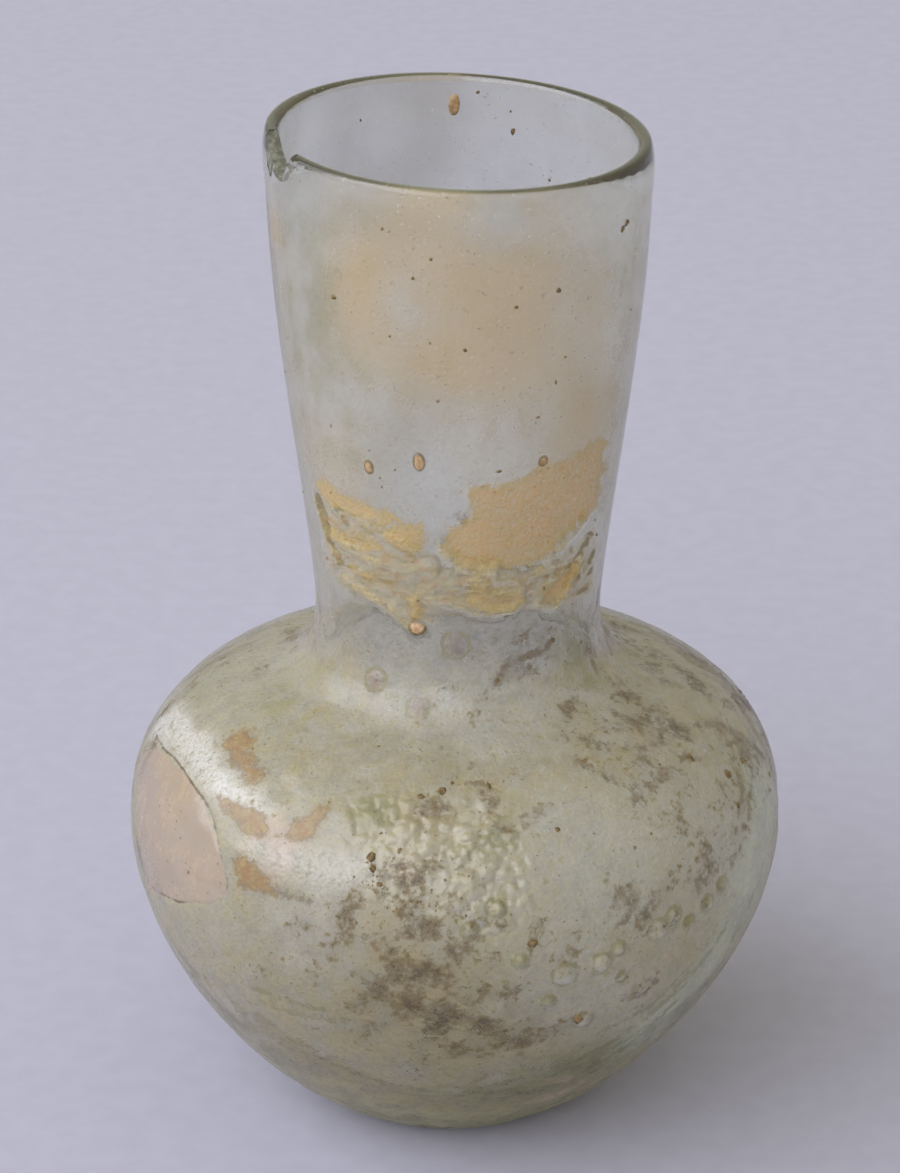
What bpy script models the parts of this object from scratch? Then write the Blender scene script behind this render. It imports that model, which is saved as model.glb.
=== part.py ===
"""A small free-blown glass flask with a wide, flaring neck and a squat round body.

The flask is one piece of glass: a hollow wall that runs from the pushed-in underside,
round the body, up the neck, over the rounded lip and back down inside. The lip isn't
level, the neck and the base sit a little off the body's axis, and a chip is broken out
of the lip on the left. Metres, +Z up, origin under the body's axis on the ground.
"""

import math

import bmesh
import bpy
from mathutils import Matrix, Vector

MM = 0.001

# Outline of the outside
FLASK_HEIGHT = 90.0 * MM
BODY_RADIUS = 28.8 * MM
WIDEST_HEIGHT = 25.6 * MM
SHOULDER_RISE = 16.4 * MM  # from the widest ring to where the shoulder would close
NECK_RADIUS = 12.6 * MM  # at its narrowest
NECK_ROOT_HEIGHT = 50.0 * MM  # where the sweep out of the shoulder ends
LIP_RADIUS = 16.3 * MM
FOOT_RADIUS = 11.0 * MM
LOWER_FULLNESS = 1.66  # 2 is an ellipse, less is more pointed
SHOULDER_FULLNESS = 2.7
ROOT_SPREAD = 4.2 * MM  # how far out on the shoulder the sweep into the neck starts
NECK_FLARE_AT_ROOT = 0.11  # radius gained for each unit of height
NECK_FLARE_AT_LIP = -0.025

# Thickness of the wall
LIP_WALL = 1.15 * MM
NECK_WALL = 1.1 * MM
BODY_WALL = 1.2 * MM
BASE_WALL = 2.4 * MM

# Underside
FOOT_ROUNDING = 2.0 * MM  # how far in from the foot's radius the flat ring starts
FOOT_ROUNDING_RISE = 1.2 * MM  # how high the rounding runs up the lower body
FOOT_FLAT_WIDTH = 2.2 * MM
KICK_HEIGHT = 1.4 * MM  # how far the middle of the base is pushed in

# Hand-made unevenness
NECK_OFFSET = 0.3 * MM  # the neck stands this far to +X of the body's axis
BASE_OFFSET = -0.4 * MM  # and the foot this far to -X
LIP_TILT = math.radians(2.4)  # the lip is higher on the -X side

# Chip broken out of the lip. Bearings turn from +X towards +Y.
CHIP_BEARING = math.radians(207.0)
CHIP_DEPTH = 2.7 * MM
CHIP_LONG_SIDE = 5.2 * MM
CHIP_SHORT_SIDE = 1.4 * MM
SPALL_BEARING = math.radians(199.0)
SPALL_DEPTH = 0.55 * MM  # how deep the flake scar bites into the outside
SPALL_WIDTH = 6.0 * MM
SPALL_HEIGHT = 9.0 * MM

# How the curves are drawn
BEND_PULL = 0.45  # how long a bend keeps to its first and last direction
NEAR_RISE = 0.01 * MM  # a short step up a curve, to find its direction
NEAR_TURN = math.radians(0.5)  # the same, round the shoulder
WELD = 0.01 * MM
CRISP_EDGE = math.radians(35.0)

# How finely the curves are cut up
SIDES = 52
LOWER_STEPS = 9
SHOULDER_STEPS = 9
ROOT_STEPS = 6
NECK_STEPS = 8
LIP_STEPS = 6
FOOT_STEPS = 3
KICK_STEPS = 4

GLASS_COLOUR = (0.72, 0.76, 0.66, 1.0)
GLASS_ROUGHNESS = 0.25


def clear_scene():
    for old in list(bpy.data.objects):
        bpy.data.objects.remove(old)


def bend(start, leave, arrive, end, steps):
    """Points of a smooth bend between two directions, without its first point."""
    pull = (end - start).length * BEND_PULL
    handle_a = start + leave.normalized() * pull
    handle_b = end - arrive.normalized() * pull
    points = []
    for step in range(1, steps + 1):
        t = step / steps
        s = 1.0 - t
        points.append(
            start * s**3
            + handle_a * 3 * s * s * t
            + handle_b * 3 * s * t * t
            + end * t**3
        )
    return points


def lower_depth():
    """How deep the lower body would reach if the foot didn't cut it off."""
    cut = 1.0 - (FOOT_RADIUS / BODY_RADIUS) ** LOWER_FULLNESS
    return WIDEST_HEIGHT / cut ** (1.0 / LOWER_FULLNESS)


def lower_body_point(height):
    depth = (WIDEST_HEIGHT - height) / lower_depth()
    out = (1.0 - depth**LOWER_FULLNESS) ** (1.0 / LOWER_FULLNESS)
    return Vector((BODY_RADIUS * out, height))


def shoulder_point(turn):
    """turn is 0 on the widest ring and a quarter turn on the axis."""
    power = 2.0 / SHOULDER_FULLNESS
    return Vector(
        (
            BODY_RADIUS * math.cos(turn) ** power,
            WIDEST_HEIGHT + SHOULDER_RISE * math.sin(turn) ** power,
        )
    )


def turn_at_radius(radius):
    return math.acos((radius / BODY_RADIUS) ** (SHOULDER_FULLNESS / 2.0))


def neck_point(share):
    """share is 0 at the neck's root and 1 under the lip."""
    length = FLASK_HEIGHT - NECK_ROOT_HEIGHT
    t = share
    radius = (
        (2 * t**3 - 3 * t**2 + 1) * NECK_RADIUS
        + (t**3 - 2 * t**2 + t) * length * NECK_FLARE_AT_ROOT
        + (3 * t**2 - 2 * t**3) * LIP_RADIUS
        + (t**3 - t**2) * length * NECK_FLARE_AT_LIP
    )
    return Vector((radius, NECK_ROOT_HEIGHT + length * t))


def underside():
    """The pushed-in middle and the flat ring that the flask stands on."""
    flat_outer = FOOT_RADIUS - FOOT_ROUNDING
    flat_inner = flat_outer - FOOT_FLAT_WIDTH
    points = []
    for step in range(KICK_STEPS + 1):
        share = step / KICK_STEPS
        rise = KICK_HEIGHT * (1.0 - share**2) ** 2
        points.append(Vector((flat_inner * share, rise)))
    points.append(Vector((flat_outer, 0.0)))
    return points


def outside_profile():
    """The outside from the middle of the underside up to the start of the lip."""
    points = underside()
    first = lower_body_point(FOOT_ROUNDING_RISE)
    above = lower_body_point(FOOT_ROUNDING_RISE + NEAR_RISE)
    points += bend(points[-1], Vector((1.0, 0.0)), above - first, first, FOOT_STEPS)
    start_turn = math.acos(1.0 - FOOT_ROUNDING_RISE / WIDEST_HEIGHT)
    for step in range(1, LOWER_STEPS + 1):
        turn = start_turn + (math.pi / 2 - start_turn) * step / LOWER_STEPS
        points.append(lower_body_point(WIDEST_HEIGHT * (1.0 - math.cos(turn))))
    last_turn = turn_at_radius(NECK_RADIUS + ROOT_SPREAD)
    for step in range(1, SHOULDER_STEPS + 1):
        points.append(shoulder_point(last_turn * step / SHOULDER_STEPS))
    start = points[-1]
    run = start - shoulder_point(last_turn - NEAR_TURN)
    points += bend(
        start, run, Vector((NECK_FLARE_AT_ROOT, 1.0)), neck_point(0.0), ROOT_STEPS
    )
    lip_start = 1.0 - LIP_WALL / 2 / (FLASK_HEIGHT - NECK_ROOT_HEIGHT)
    for step in range(1, NECK_STEPS + 1):
        points.append(neck_point(lip_start * step / NECK_STEPS))
    return points


def wall_at(height):
    """Wall thickness, which thins from the base to the body and again to the neck."""
    if height < WIDEST_HEIGHT:
        share = (1.0 - height / WIDEST_HEIGHT) ** 3
        return BODY_WALL + (BASE_WALL - BODY_WALL) * share
    share = min(1.0, (height - WIDEST_HEIGHT) / (NECK_ROOT_HEIGHT - WIDEST_HEIGHT))
    return BODY_WALL + (NECK_WALL - BODY_WALL) * share


def inside_profile(outside):
    """The inside, from the middle of the floor up to the start of the lip."""
    points = []
    for index, point in enumerate(outside):
        before = outside[max(index - 1, 0)]
        after = outside[min(index + 1, len(outside) - 1)]
        along = (after - before).normalized()
        inwards = Vector((-along.y, along.x))
        if index == 0:
            inwards = Vector((0.0, 1.0))
        thickness = wall_at(point.y)
        if index == len(outside) - 1:
            inwards = Vector((-1.0, 0.0))
            thickness = LIP_WALL
        points.append(point + inwards * thickness)
    return points


def lip_profile(outer, inner):
    """The rounded lip, over from the outside to the inside."""
    middle = (outer + inner) / 2
    arm = outer - middle
    points = []
    for step in range(1, LIP_STEPS):
        turn = math.pi * step / LIP_STEPS
        over = Vector((arm.x * math.cos(turn), arm.length * math.sin(turn)))
        points.append(middle + over)
    return points


def turned_wall():
    """The whole wall turned about the axis, as a mesh."""
    outside = outside_profile()
    inside = inside_profile(outside)
    lip = lip_profile(outside[-1], inside[-1])
    profile = inside + lip[::-1] + outside[::-1]
    mesh = bpy.data.meshes.new("flask_profile")
    shape = bmesh.new()
    corners = [shape.verts.new((point.x, 0.0, point.y)) for point in profile]
    for corner, following in zip(corners, corners[1:]):
        shape.edges.new((corner, following))
    shape.to_mesh(mesh)
    shape.free()
    turned = bpy.data.objects.new("flask_turned", mesh)
    bpy.context.scene.collection.objects.link(turned)
    screw = turned.modifiers.new("turn", "SCREW")
    screw.steps = SIDES
    screw.render_steps = SIDES
    screw.use_merge_vertices = True
    screw.merge_threshold = WELD
    return baked(turned, "flask")


def baked(source, name):
    """The evaluated shape of an object as a mesh, welded. The object is removed."""
    bpy.context.view_layer.update()
    graph = bpy.context.evaluated_depsgraph_get()
    mesh = bpy.data.meshes.new_from_object(source.evaluated_get(graph))
    mesh.name = name
    mesh.transform(source.matrix_world)
    shape = bmesh.new()
    shape.from_mesh(mesh)
    bmesh.ops.remove_doubles(shape, verts=shape.verts, dist=WELD)
    shape.to_mesh(mesh)
    shape.free()
    bpy.data.objects.remove(source)
    return mesh


def eased(share):
    share = min(max(share, 0.0), 1.0)
    return share * share * (3.0 - 2.0 * share)


def set_by_hand(point):
    """Moves a point of the true turned shape to where the blower left it."""
    x, y, z = point
    rise = eased((z - WIDEST_HEIGHT) / (NECK_ROOT_HEIGHT - WIDEST_HEIGHT))
    sink = eased(1.0 - z / WIDEST_HEIGHT)
    shift = NECK_OFFSET * rise + BASE_OFFSET * sink
    neck_length = FLASK_HEIGHT - NECK_ROOT_HEIGHT
    tilt_share = eased((z - NECK_ROOT_HEIGHT) / neck_length)
    return Vector((x + shift, y, z - x * math.tan(LIP_TILT) * tilt_share))


def bearing_direction(bearing):
    return Vector((math.cos(bearing), math.sin(bearing), 0.0))


def lip_spot(bearing):
    """A point on the outer edge of the lip as it was set by hand."""
    out = bearing_direction(bearing) * LIP_RADIUS
    return set_by_hand((out.x, out.y, FLASK_HEIGHT))


def chip_cutter():
    """A wedge through the wall: a long slope on one side and a steep one on the other."""
    above = CHIP_DEPTH
    corners = (
        (-CHIP_LONG_SIDE * 2, above),
        (-CHIP_LONG_SIDE, 0.0),
        (0.0, -CHIP_DEPTH),
        (CHIP_SHORT_SIDE, 0.0),
        (CHIP_SHORT_SIDE * 2, above),
    )
    outline = bpy.data.curves.new("chip_outline", "CURVE")
    outline.dimensions = "2D"
    outline.fill_mode = "BOTH"
    outline.extrude = LIP_WALL * 3  # well past the wall, inwards and outwards
    spline = outline.splines.new("POLY")
    spline.points.add(len(corners) - 1)
    for target, (along, up) in zip(spline.points, corners):
        target.co = (along, up, 0.0, 1.0)
    spline.use_cyclic_u = True
    wedge = bpy.data.objects.new("chip_outline", outline)
    bpy.context.scene.collection.objects.link(wedge)
    outwards = bearing_direction(CHIP_BEARING)
    up = Vector((0.0, 0.0, 1.0))
    sideways = up.cross(outwards)
    turn = Matrix((sideways, up, outwards)).transposed().to_4x4()
    wedge.matrix_world = Matrix.Translation(lip_spot(CHIP_BEARING)) @ turn
    return baked(wedge, "chip_cutter")


def spall_cutter():
    """A shallow scoop that leaves a shell-shaped scar on the outside of the lip."""
    shape = bmesh.new()
    bmesh.ops.create_uvsphere(shape, u_segments=20, v_segments=12, radius=1.0)
    deep = SPALL_WIDTH / 2
    bmesh.ops.scale(shape, vec=(deep, SPALL_WIDTH / 2, SPALL_HEIGHT / 2), verts=shape.verts)
    middle = lip_spot(SPALL_BEARING)
    middle += bearing_direction(SPALL_BEARING) * (deep - SPALL_DEPTH)
    place = Matrix.Translation(middle) @ Matrix.Rotation(SPALL_BEARING, 4, "Z")
    bmesh.ops.transform(shape, matrix=place, verts=shape.verts)
    mesh = bpy.data.meshes.new("spall_cutter")
    shape.to_mesh(mesh)
    shape.free()
    return mesh


def add_cutter(mesh, collection):
    cutter = bpy.data.objects.new(mesh.name, mesh)
    collection.objects.link(cutter)
    cutter.hide_render = True
    cutter.display_type = "WIRE"
    return cutter


def glass_material():
    material = bpy.data.materials.new("weathered_glass")
    material.use_nodes = True
    shader = material.node_tree.nodes["Principled BSDF"]
    shader.inputs["Base Color"].default_value = GLASS_COLOUR
    shader.inputs["Roughness"].default_value = GLASS_ROUGHNESS
    shader.inputs["Metallic"].default_value = 0.0
    return material


def build():
    clear_scene()
    parts = bpy.data.collections.new("perfume_flask")
    cutters = bpy.data.collections.new("cutters")
    for collection in (parts, cutters):
        bpy.context.scene.collection.children.link(collection)

    mesh = turned_wall()
    for vertex in mesh.vertices:
        vertex.co = set_by_hand(vertex.co)
    flask = bpy.data.objects.new("flask", mesh)
    parts.objects.link(flask)
    mesh.materials.clear()
    mesh.materials.append(glass_material())

    for cutter_mesh in (chip_cutter(), spall_cutter()):
        cut = flask.modifiers.new(cutter_mesh.name, "BOOLEAN")
        cut.operation = "DIFFERENCE"
        cut.object = add_cutter(cutter_mesh, cutters)
    mesh.shade_smooth()
    mesh.set_sharp_from_angle(angle=CRISP_EDGE)


build()
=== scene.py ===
# %% [markdown]
# # A weathered glass perfume flask
#
# The real object is a small flask blown from pale green glass and then left in the ground
# for many centuries. The glass itself is still clear. What makes it look old lies on it:
# a thin pearly skin where the surface has decayed, soil that has crept under that skin,
# pits, blisters and a few orange flakes.
#
# So the lesson builds it in the same order as time did: first the clear wall of glass with
# the chip in its lip, then the skin of decay and its stains, and last the crumbs of soil.

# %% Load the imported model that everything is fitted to
import math

import bmesh
import bpy
import numpy as np
from mathutils import Matrix, Vector, noise
from mathutils.bvhtree import BVHTree


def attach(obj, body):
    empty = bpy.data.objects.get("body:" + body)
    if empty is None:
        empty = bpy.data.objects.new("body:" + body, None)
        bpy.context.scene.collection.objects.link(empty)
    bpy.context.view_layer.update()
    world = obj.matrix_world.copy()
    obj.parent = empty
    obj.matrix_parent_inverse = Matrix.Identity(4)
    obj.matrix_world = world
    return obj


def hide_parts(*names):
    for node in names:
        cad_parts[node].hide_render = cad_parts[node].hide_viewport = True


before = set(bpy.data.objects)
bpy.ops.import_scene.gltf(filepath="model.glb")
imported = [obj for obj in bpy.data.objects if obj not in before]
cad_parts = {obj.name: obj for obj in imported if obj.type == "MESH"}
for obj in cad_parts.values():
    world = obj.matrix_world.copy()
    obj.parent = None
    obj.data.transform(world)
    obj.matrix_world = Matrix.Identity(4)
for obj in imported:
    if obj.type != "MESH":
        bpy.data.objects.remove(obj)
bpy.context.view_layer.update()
MM = 0.001

# %% [markdown]
# ## The camera
#
# The photo looks down on the flask at about 24 degrees from close by. The round lip shows
# as an ellipse, and how open it is gives the camera's height. The width of the body in
# pixels gives the lens. The camera comes first, because it is also the ruler: a mark that
# is seen at some pixel of the photo is carried along its line of sight to the glass.

# %% Stand the camera where the photo was taken from
PHOTO_WIDTH, PHOTO_HEIGHT = 900, 1173
FOCAL_LENGTH_IN_PIXELS = 4796
CAMERA_ELEVATION = math.radians(23.56)
CAMERA_DISTANCE = 420 * MM
AIM = Vector((-0.43 * MM, 0.0, 48.1 * MM))



def linked(data, name):
    """A new object in the scene that holds a mesh, a camera or a light."""
    made = bpy.data.objects.new(name, data)
    bpy.context.scene.collection.objects.link(made)
    return made


look = Vector((0.0, math.cos(CAMERA_ELEVATION), -math.sin(CAMERA_ELEVATION)))
camera_data = bpy.data.cameras.new("camera")
camera = linked(camera_data, "camera")
camera.location = AIM - look * CAMERA_DISTANCE
camera.rotation_euler = look.to_track_quat("-Z", "Y").to_euler()
camera_data.sensor_width = 36.0
camera_data.lens = FOCAL_LENGTH_IN_PIXELS * camera_data.sensor_width / PHOTO_HEIGHT
bpy.context.scene.camera = camera
print("lens, mm:", round(camera_data.lens, 1))

# %% [markdown]
# ## The outline, read from the solid
#
# The wall that is shown has to lie exactly where the solid has it. The outline is
# therefore not drawn again. It is read from the solid: the chain of edges on the side
# away from the camera, from the middle of the underside, up over the lip and down to the
# middle of the floor inside. The blower's hand left the neck, the foot and the lip a
# little out of true, and that unevenness is taken off first and put back at the end.

# %% The unevenness that the blower left
WIDEST_HEIGHT = 25.6 * MM
NECK_ROOT_HEIGHT = 50.0 * MM
FLASK_HEIGHT = 90.0 * MM
NECK_OFFSET = 0.3 * MM
BASE_OFFSET = -0.4 * MM
LIP_TILT = math.radians(2.4)


def eased(share):
    """0 below 0 and 1 above 1, with a soft start and end between them."""
    share = np.clip(share, 0.0, 1.0)
    return share * share * (3.0 - 2.0 * share)


def sideways_at(height):
    """How far the flask's own axis has wandered to +X at a height."""
    rise = eased((height - WIDEST_HEIGHT) / (NECK_ROOT_HEIGHT - WIDEST_HEIGHT))
    sink = eased(1.0 - height / WIDEST_HEIGHT)
    return NECK_OFFSET * rise + BASE_OFFSET * sink


def set_by_hand(points):
    """Moves points of a true turned shape to where the blower left them."""
    moved = points.copy()
    neck = eased((points[:, 2] - NECK_ROOT_HEIGHT) / (FLASK_HEIGHT - NECK_ROOT_HEIGHT))
    moved[:, 0] += sideways_at(points[:, 2])
    moved[:, 2] -= points[:, 0] * math.tan(LIP_TILT) * neck
    return moved


# %% Read the outline
SAME_PLACE = 0.01 * MM
OFF_THE_LINE = 0.05 * MM

cad = bmesh.new()
cad.from_mesh(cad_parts["flask"].data)
bmesh.ops.remove_doubles(cad, verts=cad.verts, dist=SAME_PLACE)
cad_surface = BVHTree.FromBMesh(cad)


def as_mesh(shape, name):
    """A new mesh from a bmesh, which is freed."""
    mesh = bpy.data.meshes.new(name)
    shape.to_mesh(mesh)
    shape.free()
    return mesh


def on_the_line(vertex):
    x, y, z = vertex.co
    return abs(x - sideways_at(z)) < OFF_THE_LINE and y > -OFF_THE_LINE


def outline_of(solid):
    """The outline as points (radius, height), from the underside's middle to the floor's."""
    line = {vertex for vertex in solid.verts if on_the_line(vertex)}
    ends = sorted((v for v in line if v.co.y < OFF_THE_LINE), key=lambda v: v.co.z)
    here, seen = ends[0], {ends[0]}
    points = [(0.0, here.co.z)]
    while here is not ends[1]:
        around = {edge.other_vert(here) for edge in here.link_edges}
        (here,) = (around & line) - seen
        seen.add(here)
        points.append((here.co.y, here.co.z))
    return np.array(points)


outline = outline_of(cad)
lip_index = int(outline[:, 1].argmax())
print("outline:", len(outline), "points, lip at", lip_index, outline[lip_index] / MM)

# %% [markdown]
# ## The wall of glass
#
# A blown flask is one wall with an outside, a rounded lip and an inside. One outline that
# runs round all three and is turned once gives a closed wall of true thickness, with no
# join at the lip. The outline is first drawn more finely, as a curve through the points of
# the solid, so that the relief has enough mesh to stand in. Each point carries its length
# along the outline with it as it is turned, which later tells the outside from the inside.

# %% Draw the outline more finely
OUTSIDE_SPACING = 0.7 * MM
LIP_SPACING = 0.15 * MM
INSIDE_SPACING = 1.4 * MM
LIP_REACH = 3  # stretches of the solid's outline on each side of the lip's top


def spacing_at(index):
    if -LIP_REACH <= index - lip_index < LIP_REACH:
        return LIP_SPACING
    return OUTSIDE_SPACING if index < lip_index else INSIDE_SPACING


def slopes_through(points):
    """The curve's direction at each point, from the stretches on both sides of it."""
    mirrored = [points[1] * (-1, 1), *points, points[-2] * (-1, 1)]
    steps = np.diff(mirrored, axis=0)
    lengths = np.linalg.norm(steps, axis=1)[:, None]
    runs = steps / lengths
    return (runs[:-1] * lengths[1:] + runs[1:] * lengths[:-1]) / (lengths[:-1] + lengths[1:])


def drawn_finely(points):
    slopes = slopes_through(points)
    fine = [points[0]]
    for index in range(len(points) - 1):
        start, end = points[index], points[index + 1]
        length = np.linalg.norm(end - start)
        pieces = max(1, round(length / spacing_at(index)))
        for piece in range(1, pieces + 1):
            t = piece / pieces
            fine.append(
                (2 * t**3 - 3 * t**2 + 1) * start
                + (t**3 - 2 * t**2 + t) * length * slopes[index]
                + (3 * t**2 - 2 * t**3) * end
                + (t**3 - t**2) * length * slopes[index + 1]
            )
    return np.array(fine)


fine_outline = drawn_finely(outline)
along = np.concatenate(([0.0], np.cumsum(np.linalg.norm(np.diff(fine_outline, axis=0), axis=1))))
lip_along = along[fine_outline[:, 1].argmax()]
print("fine outline:", len(fine_outline), "points,", round(along[-1] / MM, 1), "mm long")

# %% Turn it
TURNS = 240


def turned(points, lengths, name):
    """A mesh turned from an outline of (radius, height), with each point's length kept."""
    shape = bmesh.new()
    layer = shape.verts.layers.float.new("along")
    corners = []
    for (radius, height), length in zip(points, lengths):
        corner = shape.verts.new((radius, 0.0, height))
        corner[layer] = length
        corners.append(corner)
    for corner, following in zip(corners, corners[1:]):
        shape.edges.new((corner, following))
    bmesh.ops.spin(
        shape,
        geom=shape.verts[:] + shape.edges[:],
        cent=(0, 0, 0),
        axis=(0, 0, 1),
        angle=math.tau,
        steps=TURNS,
        use_merge=True,
    )
    bmesh.ops.remove_doubles(shape, verts=shape.verts, dist=SAME_PLACE)
    bmesh.ops.recalc_face_normals(shape, faces=shape.faces)
    return as_mesh(shape, name)


def values_of(mesh, name):
    values = np.empty(len(mesh.vertices), np.float32)
    mesh.attributes[name].data.foreach_get("value", values)
    return values


def vectors_of(elements, name):
    vectors = np.empty(len(elements) * 3, np.float32)
    elements.foreach_get(name, vectors)
    return vectors.reshape(-1, 3).astype(float)


def places_of(mesh):
    return vectors_of(mesh.vertices, "co")


def move_to(mesh, places):
    mesh.vertices.foreach_set("co", places.astype(np.float32).ravel())
    mesh.update()


wall = turned(fine_outline, along, "glass_wall")
move_to(wall, set_by_hand(places_of(wall)))
print("wall:", len(wall.vertices), "points,", len(wall.polygons), "faces")

# %% [markdown]
# ## Marks, found on the glass through the photo
#
# Every stain and blister below is named by where it is seen in the photo, in pixels. The
# line of sight through that pixel meets the glass at one spot, and that spot, in the
# flask's own space, is what the mark is made at. Distances from a mark are then real
# distances on the glass, so the marks look right from any side.

# %% Carry a pixel of the photo to the glass
def on_glass(pixel):
    """The spot on the solid that is seen at a pixel of the photo."""
    x, y = pixel
    right = Vector((1.0, 0.0, 0.0))
    up = right.cross(look)
    sight = look + right * (x - PHOTO_WIDTH / 2) / FOCAL_LENGTH_IN_PIXELS
    sight += up * (PHOTO_HEIGHT / 2 - y) / FOCAL_LENGTH_IN_PIXELS
    spot, *_ = cad_surface.ray_cast(camera.location, sight.normalized())
    if spot is None:
        raise ValueError(f"no glass is seen at pixel {pixel}")
    return np.array(spot)


def away_from(places, spot):
    return np.linalg.norm(places - spot, axis=1)


def blob(places, pixel, radius, softness=0.5):
    """1 within a mark and 0 outside it. The radius is in mm, the softness a share of it."""
    distance = away_from(places, on_glass(pixel)) / (radius * MM)
    return 1.0 - eased((distance - 1.0 + softness) / (2.0 * softness))


def away_from_line(places, pixels):
    """Each point's distance from a line drawn through pixels of the photo."""
    spots = [on_glass(pixel) for pixel in pixels]
    nearest = np.full(len(places), np.inf)
    for start, end in zip(spots, spots[1:]):
        run = end - start
        share = np.clip((places - start) @ run / (run @ run), 0.0, 1.0)
        distance = np.linalg.norm(places - start - share[:, None] * run, axis=1)
        nearest = np.minimum(nearest, distance)
    return nearest


def inside_of(places, pixels):
    """How far, in mm, each point is inside an outline drawn in the photo, or else minus."""
    spots = np.array([on_glass(pixel) for pixel in pixels])
    edge = away_from_line(places, [*pixels, pixels[0]]) / MM
    bearing = np.arctan2(places[:, 1], places[:, 0]) % math.tau
    spot_bearing = np.arctan2(spots[:, 1], spots[:, 0]) % math.tau
    height, spot_height = places[:, 2], spots[:, 2]
    odd = np.zeros(len(places), bool)
    for index in range(len(spots)):
        b0, z0 = spot_bearing[index - 1], spot_height[index - 1]
        b1, z1 = spot_bearing[index], spot_height[index]
        if z0 == z1:
            continue
        crossed = (height > min(z0, z1)) & (height <= max(z0, z1))
        at = b0 + (height - z0) / (z1 - z0) * (b1 - b0)
        odd ^= crossed & (bearing < at)
    return np.where(odd, edge, -edge)


def soft_inside(places, outline, softness):
    """1 inside an outline and 0 outside it. Its edge is so many mm soft."""
    return eased(inside_of(places, outline) / softness + 0.5)


def nearest_line(places, lines):
    """mm to the nearest of several lines."""
    return np.min([away_from_line(places, line) for line in lines], axis=0) / MM


WIDEST_LEFT = (134, 804)  # pixel of the photo
print("widest on the left, mm:", (on_glass(WIDEST_LEFT) / MM).round(1))

# %% [markdown]
# ## Relief
#
# Glass that was blown by hand is never quite even, and decay has made it rougher: there is
# a crinkled belt round the bottom of the neck, a crumpled field on the front of the body,
# a few blisters low on the right and a fine groove round the bare patch on the left. All
# of it is moved into the mesh along the glass's own direction, so that the outline and the
# highlights follow it. Noise with a fixed pattern gives the same relief on every run.

# %% Noise over the glass
CREASE_STEEPNESS = 1.6


def noise_over(places, size, stretch=(1.0, 1.0, 1.0), shift=0.0):
    """Smooth noise from about -1 to 1. size is in mm, and stretch lengthens its marks."""
    scaled = places / (size * MM) / stretch + shift
    return np.array([noise.noise(place) for place in scaled])


def creases_over(places, size, shift=0.0):
    """Lumps of about a size in mm, 1 at their middles and 0 in the creases between."""
    scaled = places / (size * MM) + shift
    lumps = []
    for place in scaled:
        distances, _ = noise.voronoi(place)
        lumps.append(min(1.0, (distances[1] - distances[0]) * CREASE_STEEPNESS))
    return np.array(lumps)


def out_of_round(places):
    """By how much the distance from a blister's middle is changed, so that none is round."""
    return 1.0 + 0.16 * noise_over(places, 1.3, shift=90.0)


# %% Where the relief is, as it shows in the photo
CRINKLED_BELT = [
    (322, 498), (345, 500), (372, 515), (398, 530), (425, 552), (445, 566), (478, 560),
    (520, 572), (556, 556), (594, 525), (592, 590), (560, 606), (520, 610), (480, 610),
    (440, 606), (425, 630), (405, 622), (380, 600), (345, 590), (328, 562),
]
CRUMPLED_FIELD = [
    (352, 800), (400, 790), (450, 806), (500, 800), (530, 830), (540, 880), (528, 920),
    (500, 945), (460, 935), (420, 905), (380, 900), (350, 870),
]
BARE_PATCH = [
    (144, 752), (158, 749), (172, 757), (190, 776), (207, 803), (219, 839), (227, 872),
    (229, 894), (214, 901), (180, 902), (150, 888), (142, 850), (139, 800),
]
YELLOW_RIDGES = [
    [(337, 535), (356, 549), (372, 558), (395, 567), (418, 567), (430, 571)],
    [(346, 578), (363, 590), (379, 599), (395, 610), (409, 624), (418, 629)],
    [(376, 567), (390, 576), (409, 574), (422, 567), (436, 569)],
    [(422, 594), (436, 599), (450, 601), (464, 604), (473, 610), (494, 612), (512, 608),
     (521, 599)],
    [(521, 599), (519, 590), (505, 590), (487, 592), (471, 578), (487, 578)],
    [(482, 569), (496, 578), (519, 581), (537, 571), (551, 567)],
    [(537, 601), (553, 604), (565, 590), (574, 569), (580, 556)],
    [(537, 601), (539, 590), (553, 578)],
    [(318, 500), (326, 522), (333, 545), (340, 560)],
    [(362, 522), (380, 530), (400, 541), (417, 550)],
    [(345, 540), (362, 556), (384, 562)],
    [(442, 546), (450, 558), (464, 567), (478, 572), (494, 570)],
    [(415, 600), (424, 588), (440, 582), (456, 588)],
    [(584, 515), (574, 530), (560, 545), (548, 556)],
]
LUMPY_AREAS = {  # pixel of the photo: radius in mm
    (275, 975): 5.5, (400, 960): 6.0, (500, 1000): 5.0, (640, 960): 4.5, (590, 1010): 4.0,
    (300, 780): 3.5,
}
HAIRLINE = [
    (157, 736), (166, 751), (175, 758), (184, 770), (193, 784), (203, 798), (212, 812), (216, 828),
    (219, 842), (223, 858), (225, 869), (229, 885), (226, 899), (212, 904), (198, 901), (180, 902),
    (164, 894), (154, 887),
]
BLISTERS = {  # pixel of the photo: radius in mm
    (565, 973): 1.25, (601, 962): 1.0, (618, 948): 0.75, (583, 1019): 1.0, (640, 987): 0.95,
    (657, 930): 1.0, (672, 914): 0.8, (688, 921): 0.7, (706, 903): 0.85, (720, 884): 0.75,
    (621, 976): 0.6, (548, 1000): 0.6, (520, 960): 0.7, (497, 908): 0.8, (470, 930): 0.7,
}
FAINT_BLISTERS = {(456, 645): 1.2, (376, 680): 1.05, (418, 708): 1.0}
BLISTER_HEIGHT, FAINT_HEIGHT = 0.44 * MM, 0.16 * MM
RIDGE_HEIGHT, RIDGE_WIDTH = 0.32 * MM, 0.75 * MM
GROOVE_DEPTH, GROOVE_WIDTH = 0.12 * MM, 0.25 * MM
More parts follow.
